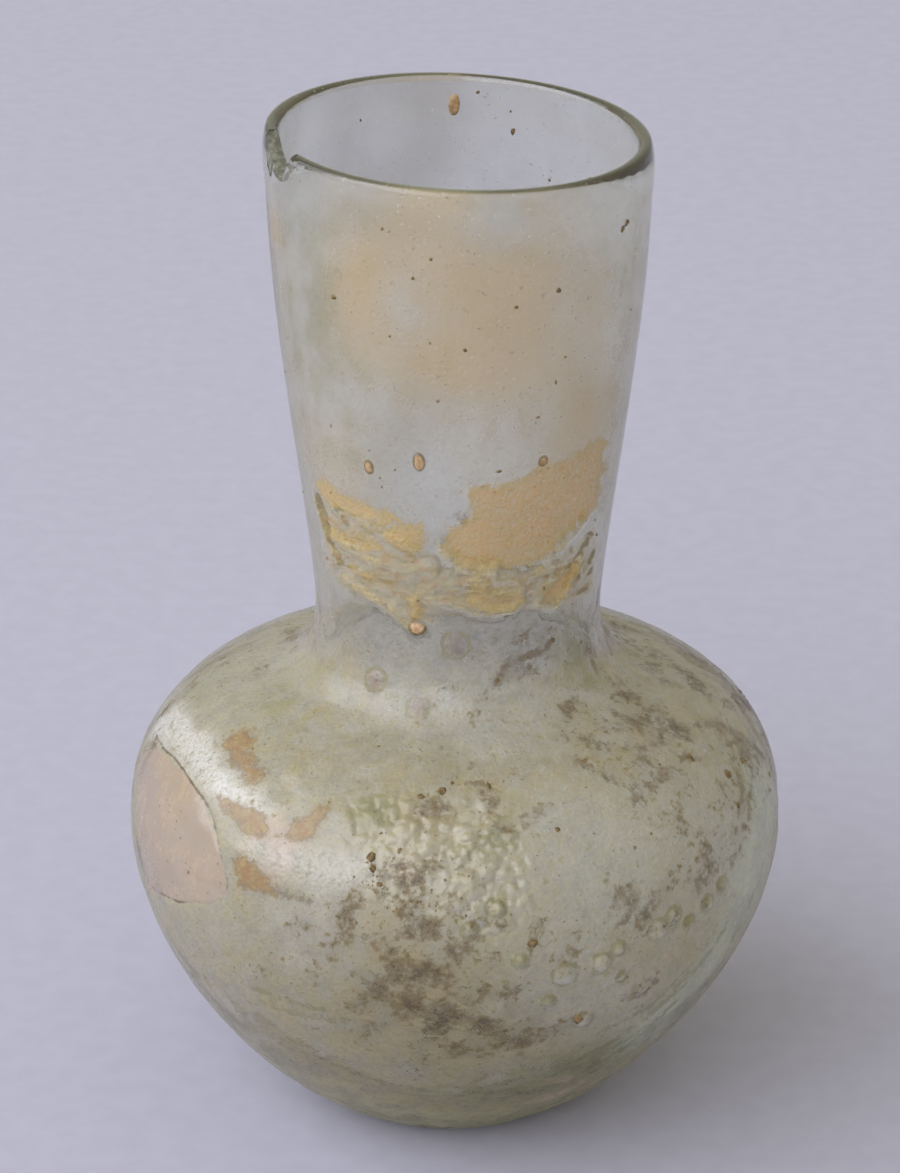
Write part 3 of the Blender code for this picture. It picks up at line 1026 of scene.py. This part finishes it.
# %% Colours
MILKY = srgb(188, 179, 152)
SILVER = srgb(184, 180, 168)
OLIVE = srgb(170, 155, 116)
DEEP_OLIVE = srgb(156, 152, 96)
GREEN = srgb(134, 136, 84)
PINK = srgb(206, 178, 160)
TAN = srgb(198, 158, 100)
TAN_EDGE = srgb(178, 156, 96)
WARM = srgb(190, 160, 98)
YELLOW = srgb(190, 170, 114)
FLAKE_ORANGE = srgb(150, 104, 52)
BARE_GLASS = srgb(192, 168, 148)
SOIL_BROWN = srgb(126, 105, 64)
SOIL_DARK = srgb(84, 66, 40)
# Near white, for the painted highlight in the pearly band and for the real pale specks.
PEARL_HIGHLIGHT_AND_SPECK_WHITE = srgb(230, 226, 219)
LIP_OLIVE = srgb(170, 170, 144)
# Partly the green of the glass, made paler as painted light for the shaded right edge.
PAINTED_LIGHT_PALE_GREEN = srgb(208, 213, 186)
FOOT_OLIVE = srgb(190, 184, 120)
BLOT = srgb(158, 128, 104)
VEIN_BROWN = srgb(102, 82, 48)
OLIVE_LINE = srgb(138, 130, 80)

# %% Patterns that several layers share
f = Finish("weathering_skin")
grain = f.noise(0.30, detail=0.0)
ragged = f.noise(0.8, detail=2.0, rough=0.7, shift=14.0)
wander = f.maths("SUBTRACT", ragged, 0.5)


def ragged_edge(away, amount, start, end):
    """A mask from a painted distance in mm, with its edge made ragged by noise."""
    return f.step(f.maths("MULTIPLY_ADD", wander, amount, away), start, end)


# %% Masks, one for each layer
mottle, on_the_body = f.painted("mottle"), f.painted("on_body")
lip_share, crest = f.painted("near_lip"), f.painted("crest")
crumpled, belt_share, warm_share = f.painted("crumpled"), f.painted("belt"), f.painted("warm_veil")
tan_depth, flake_depth = f.painted("tan_inside"), f.painted("flake_inside")
tan_mask = ragged_edge(tan_depth, 2.2, -0.55, 0.45)
tan_rim = f.times(tan_mask, ragged_edge(tan_depth, 1.1, 1.0, 0.3))
flake_mask = ragged_edge(flake_depth, 2.6, -0.45, 0.35)
flake_rim = f.times(flake_mask, ragged_edge(flake_depth, 2.0, 0.5, 0.0))
ridge_mask = ragged_edge(f.painted("ridge_away"), 0.9, 0.70, 0.30)
hairline_mask = ragged_edge(f.painted("hairline_away"), 0.22, 0.19, 0.06)
vein_mask = ragged_edge(f.painted("vein_away"), 1.6, 0.62, 0.10)
olive_mask = ragged_edge(f.painted("olive_away"), 1.3, 0.60, 0.10)
bare_mask = f.step(f.painted("bare_inside"), -0.05, 0.12)
clear_and_painted_light_share = f.step(f.painted("clear_and_painted_light_away"), 6.5, 0.5)
pearl_and_highlight_mask = f.times(f.painted("pearl_and_highlight"), f.step(ragged, 0.25, 0.50))
soil_reach = f.maths("MULTIPLY_ADD", wander, 3.6, f.painted("soil"))
soil_mask = f.step(soil_reach, 0.35, 1.35)
soil_core = f.step(soil_reach, 1.05, 2.00)
dark_specks = f.times(f.step(grain, 0.79, 0.83), f.either(on_the_body, 0.6, 1.0))
pale_specks = f.times(f.step(grain, 0.26, 0.19), f.either(lip_share, 0.25, 1.0))

# %% Lay the colours over one another
tan_colour = f.over(f.step(ragged, 0.4, 0.7, 0.0, 0.6), TAN, YELLOW)
layers = [  # where each lies, how strong it is there and its colour, from the lowest up
    (mottle, 0.5, OLIVE),
    (f.painted("olive"), 0.8, OLIVE),
    # Silvery skin, with painted light on the shaded right side.
    (f.painted("silver"), 0.6, SILVER),
    (f.painted("near_foot"), 0.7, FOOT_OLIVE),
    # Green tint, with painted shade along the neck's edges.
    (f.painted("green"), 0.6, GREEN),
    (f.times(f.step(ragged, 0.52, 0.68), on_the_body), 0.45, DEEP_OLIVE),
    # Pink tint, with painted highlights at two spots.
    (f.painted("pink"), 0.6, PINK),
    (f.painted("blot"), 0.8, BLOT),
    (warm_share, 0.9, WARM),
    # Painted light: the right edge painted paler, where the skin is also thinner.
    (clear_and_painted_light_share, 0.75, PAINTED_LIGHT_PALE_GREEN),
    (belt_share, 0.35, YELLOW),
    (f.times(belt_share, f.step(ragged, 0.50, 0.60)), 0.65, TAN),
    (f.times(belt_share, f.step(ragged, 0.42, 0.32)), 0.5, DEEP_OLIVE),
    (f.times(crumpled, f.step(ragged, 0.36, 0.6)), 0.3, YELLOW),
    # Painted highlight laid over pearly skin, on the left shoulder.
    (f.times(pearl_and_highlight_mask, f.step(grain, 0.35, 0.6, 0.55, 0.9)), 1.0, PEARL_HIGHLIGHT_AND_SPECK_WHITE),
    (soil_mask, 0.85, SOIL_BROWN),
    (soil_core, 0.75, SOIL_DARK),
    (tan_mask, 1.0, f.over(f.times(mottle, 0.45), tan_colour, TAN_EDGE)),
    (tan_rim, 0.7, TAN_EDGE),
    (ridge_mask, 0.8, f.over(f.step(ragged, 0.4, 0.65), YELLOW, TAN_EDGE)),
    (flake_mask, 0.9, f.over(f.step(ragged, 0.35, 0.7, 0.1, 0.7), FLAKE_ORANGE, TAN_EDGE)),
    (flake_rim, 0.5, SOIL_BROWN),
    (bare_mask, 0.85, f.over(f.times(mottle, 0.2), BARE_GLASS, WARM)),
    (olive_mask, 0.7, OLIVE_LINE),
    (vein_mask, 0.8, VEIN_BROWN),
    (hairline_mask, 0.85, SOIL_DARK),
    (dark_specks, 0.75, SOIL_DARK),
    (pale_specks, 0.6, PEARL_HIGHLIGHT_AND_SPECK_WHITE),
    (crest, 1.0, LIP_OLIVE),
]
colour = MILKY
for mask, strength, upper in layers:
    colour = f.over(f.times(mask, strength), colour, upper)
print("layers of colour:", len(layers))

# %% How much each hides
NECK_HAZE, BODY_HAZE, LIP_HAZE = 0.37, 0.63, 0.10
haze = f.either(on_the_body, NECK_HAZE, BODY_HAZE)
haze = f.maths("SUBTRACT", haze, f.times(clear_and_painted_light_share, 0.06))
haze = f.either(lip_share, haze, LIP_HAZE)
haze = f.times(haze, f.either(mottle, 0.82, 1.16), f.step(ragged, 0.3, 0.7, 0.85, 1.12))
for mask, level in ((warm_share, 0.62), (belt_share, 0.58), (crumpled, 0.66), (pearl_and_highlight_mask, 0.74)):
    haze = f.either(mask, haze, level)
stains = [
    (tan_mask, f.step(grain, 0.3, 0.7, 0.72, 0.88)),
    (ridge_mask, 0.80),
    (flake_mask, f.step(ragged, 0.35, 0.65, 0.84, 0.62)),
    (bare_mask, f.either(mottle, 0.60, 0.68)),
    (soil_mask, 0.70),
    (vein_mask, 0.90),
    (olive_mask, 0.70),
    (hairline_mask, 0.92),
    (dark_specks, 0.80),
    (pale_specks, 0.45),
    (crest, 0.30),
]
hides = f.most_of(haze, *(f.times(mask, level) for mask, level in stains))

# %% Gloss and fine relief
shine = f.either(f.most_of(pearl_and_highlight_mask, crumpled), 0.40, 0.22)
shine = f.either(bare_mask, shine, 0.18)
shine = f.either(f.most_of(soil_mask, tan_mask), shine, 0.65)
grain_share = f.either(bare_mask, 1.0, 0.2)
bump = f.node("Bump", {"Height": grain, "Distance": 0.06 * MM, "Strength": grain_share})
f.set(Base_Color=colour, Alpha=hides, Roughness=shine, Normal=bump.outputs[0])
f.set(Coat_Weight=0.4, Coat_Roughness=0.10)
dress(skin, f)
print("nodes in the skin's finish:", len(f.tree.nodes))

# %% [markdown]
# ## The broken face of the chip
#
# An old break in glass has a thin film of its own. Without it the break would show only the
# dark that glass carries along inside itself. The film is lifted off those faces of the cut
# glass that don't lie on the wall as it was before the cut.

# %% Lift a film off the broken faces
BREAK_FILM_GAP = 0.03 * MM
FILM_HIDES = 0.42
FILM_DARK, FILM_LIGHT = srgb(150, 152, 128), srgb(204, 200, 184)
wall_points = [vertex.co for vertex in wall.vertices]
whole_surface = BVHTree.FromPolygons(wall_points, [face.vertices for face in wall.polygons])

film_shape = bmesh.new()
film_shape.from_mesh(glass.data)
kept = []
for face in film_shape.faces:
    _, _, _, distance = whole_surface.find_nearest(face.calc_center_median())
    if distance < BROKEN_OFF:
        kept.append(face)
bmesh.ops.delete(film_shape, geom=kept, context="FACES")
film_shape.normal_update()
for vertex in film_shape.verts:
    vertex.co += vertex.normal * BREAK_FILM_GAP
chip_film = as_piece(film_shape, "chip_film")
f = Finish("chip_film")
chip_grain = f.noise(0.5, detail=3.0, stretch=(1.0, 1.0, 3.0))
chip_colour = f.over(f.step(chip_grain, 0.35, 0.65), FILM_DARK, FILM_LIGHT)
chip_bump = f.node("Bump", {"Height": chip_grain, "Distance": 0.2 * MM, "Strength": 1.0})
f.set(Base_Color=chip_colour, Alpha=FILM_HIDES, Roughness=0.15, Normal=chip_bump.outputs[0])
dress(chip_film, f)
print("chip film:", len(chip_film.data.polygons), "faces")

# %% [markdown]
# ## Crumbs of soil and bubbles filled with soil
#
# Some marks stand up from the surface: dark crumbs stuck in the skin, and round or oval
# bubbles that broke open and filled with orange soil, all but one with a dark rim. They are
# small lumps, set on the glass along its own direction. A crumb is a few dozen faces,
# because there are hundreds of them, and all of one finish are kept in one piece.

# %% Set small lumps on the glass
UNLIKE = 900.0  # reads the noise elsewhere for each lump, so that no two are alike
one_lump = bpy.data.meshes.new("one_lump")


def add_lump(shape, spot, width, length, thickness, turn=0.0, sides=(8, 5), uneven=0.0):
    """Adds a flattened ball that is sunk half into the glass. Its length runs upwards."""
    seat, facing, _, _ = glass_surface.find_nearest(Vector(spot))
    across = Vector((0.0, 0.0, 1.0)).cross(facing).normalized()
    upwards = facing.cross(across)
    axes = Matrix((across, upwards, facing)).transposed().to_4x4()
    size = Matrix.Diagonal((width / 2, length / 2, thickness, 1.0))
    place = Matrix.Translation(seat) @ axes @ Matrix.Rotation(turn, 4, "Z") @ size
    ball = bmesh.new()
    bmesh.ops.create_uvsphere(ball, u_segments=sides[0], v_segments=sides[1], radius=1.0)
    for vertex in ball.verts:
        vertex.co *= 1.0 + uneven * noise.noise(vertex.co * 1.7 + seat * UNLIKE)
    bmesh.ops.transform(ball, matrix=place, verts=ball.verts)
    ball.to_mesh(one_lump)
    ball.free()
    shape.from_mesh(one_lump)


def lumps_piece(shape, name, dark, light, roughness):
    """A piece of small lumps. Its finish is two colours, mixed by a fine grain."""
    piece, finish = as_piece(shape, name), Finish(name)
    pattern = finish.step(finish.noise(0.4, detail=3.0), 0.35, 0.65)
    finish.set(Base_Color=finish.over(pattern, dark, light), Roughness=roughness)
    dress(piece, finish)
    print(name, "faces:", len(piece.data.polygons))


# %% Dark crumbs, named one by one or strewn where the soil is
CRUMBS = {  # pixel of the photo: width in mm
    (421, 797): 0.75, (441, 792): 0.95, (371, 858): 0.8, (372, 868): 0.6, (400, 851): 0.45,
    (379, 885): 0.5, (741, 761): 0.7, (727, 775): 0.8, (768, 775): 0.4, (738, 805): 0.5,
    (557, 830): 0.5, (650, 834): 0.35, (680, 866): 0.35, (571, 718): 0.35, (532, 943): 0.9,
    (577, 1017): 0.9, (334, 297): 0.55, (558, 290): 0.5, (516, 307): 0.35, (465, 350): 0.4,
    (431, 259): 0.3, (413, 278): 0.3, (390, 336): 0.25, (430, 343): 0.25, (565, 357): 0.28,
    (538, 417): 0.35, (438, 401): 0.25, (383, 228): 0.3, (182, 838): 0.25, (190, 872): 0.3,
    (626, 222): 0.55, (622, 229): 0.45, (224, 737): 0.28, (253, 749): 0.25, (452, 784): 0.4,
    (488, 787): 0.5, (634, 848): 0.3, (553, 640): 0.45, (497, 680): 0.4, (690, 758): 0.7,
    (584, 762): 0.5, (505, 1030): 0.5, (380, 478): 0.22, (395, 470): 0.2, (382, 487): 0.2,
    (478, 92): 0.3, (511, 111): 0.2, (513, 131): 0.45, (549, 180): 0.25, (360, 120): 0.2,
}
STREWN = 240
THINNEST, THICKER = 0.07 * MM, 0.2  # what every named crumb has, and the share of its width on top
STREWN_THICKNESS = 0.1 * MM
UNEVEN = 0.7
draw = np.random.RandomState(11)

crumb_shape = bmesh.new()
for pixel, width in CRUMBS.items():
    length = width * draw.uniform(0.8, 1.4)
    thickness = THICKER * width * MM + THINNEST
    add_lump(crumb_shape, on_glass(pixel), width * MM, length * MM, thickness, uneven=UNEVEN)
soil_share = np.clip(soil, 0.0, 1.0) ** 2 + 0.02
for index in draw.choice(len(places), STREWN, p=soil_share / soil_share.sum()):
    width = draw.uniform(0.12, 0.34) * MM
    length = width * draw.uniform(0.8, 1.9)
    turn = draw.uniform(0.0, math.pi)
    add_lump(crumb_shape, places[index], width, length, STREWN_THICKNESS, turn, (6, 4), UNEVEN)
lumps_piece(crumb_shape, "soil_crumbs", srgb(98, 82, 50), srgb(142, 116, 78), 0.8)

# %% Bubbles filled with orange soil, and their dark rims
BUBBLES = {  # pixel of the photo: width and length in mm
    (419, 462): (0.9, 1.6), (369, 467): (0.8, 1.2), (543, 461): (0.75, 0.85),
    (418, 627): (1.35, 1.25),
}
RIMLESS = {(454, 104): (1.0, 2.0)}
BUBBLE_HEIGHT = 0.13 * MM
RIM_WIDTH = 0.24 * MM

rim_shape, fill_shape = bmesh.new(), bmesh.new()
for pixel, (width, length) in (BUBBLES | RIMLESS).items():
    spot = on_glass(pixel)
    width, length = width * MM, length * MM
    add_lump(fill_shape, spot, width, length, BUBBLE_HEIGHT, sides=(20, 10), uneven=0.15)
    if pixel in BUBBLES:
        width, length = width + RIM_WIDTH, length + RIM_WIDTH
        add_lump(rim_shape, spot, width, length, 0.75 * BUBBLE_HEIGHT, sides=(20, 8))
lumps_piece(rim_shape, "bubble_rims", srgb(96, 80, 52), srgb(128, 108, 74), 0.5)
lumps_piece(fill_shape, "bubble_fills", srgb(164, 128, 88), srgb(194, 164, 122), 0.5)

# %% [markdown]
# ## Floor and light
#
# The flask stands on a pale lavender-grey surface that fills the view. The light comes from a
# long row of windows on the left and a little in front, which gives the broad soft shadow that
# falls to the right and back. The pearly band on the left shoulder is partly a painted
# highlight of those windows. Pale, warmer light from all round fills the rest.

# %% Floor
FLOOR_HALF = 2.0
FLOOR_HEIGHT = -0.05 * MM  # just under the flask, so that the two never share a plane

floor_shape = bmesh.new()
bmesh.ops.create_grid(floor_shape, x_segments=1, y_segments=1, size=FLOOR_HALF)
bmesh.ops.translate(floor_shape, vec=(0, 0, FLOOR_HEIGHT), verts=floor_shape.verts)
floor = as_piece(floor_shape, "floor")
paper = Finish("pale_paper")
fibres = paper.step(paper.noise(2.5, detail=4.0), 0.3, 0.7)
paper_colour = paper.over(fibres, srgb(183, 181, 198), srgb(187, 185, 202))
paper.set(Base_Color=paper_colour, Roughness=0.9)
floor.data.materials.append(paper.material)

# %% Light
ROOM_COLOUR, ROOM_STRENGTH = (1.0, 0.97, 0.82, 1.0), 0.54
WINDOW_COLOUR, WINDOW_POWER = (0.83, 0.87, 1.0), 82.0
WINDOW_WIDTH, WINDOW_HEIGHT = 5.0, 2.0
WINDOW_PLACE = Vector((-1.43, -0.89, 1.41))

world = bpy.data.worlds.new("room")
world.use_nodes = True
room = world.node_tree.nodes["Background"]
room.inputs["Color"].default_value = ROOM_COLOUR
room.inputs["Strength"].default_value = ROOM_STRENGTH
bpy.context.scene.world = world

window_data = bpy.data.lights.new("window", "AREA")
window_data.shape = "RECTANGLE"
window_data.size, window_data.size_y = WINDOW_WIDTH, WINDOW_HEIGHT
window_data.energy = WINDOW_POWER
window_data.color = WINDOW_COLOUR
window = linked(window_data, "window")
window.location = WINDOW_PLACE
window.rotation_euler = (AIM - WINDOW_PLACE).to_track_quat("-Z", "Y").to_euler()
bpy.context.scene.view_settings.view_transform = "Standard"
print("window, m away:", round((AIM - WINDOW_PLACE).length, 2))
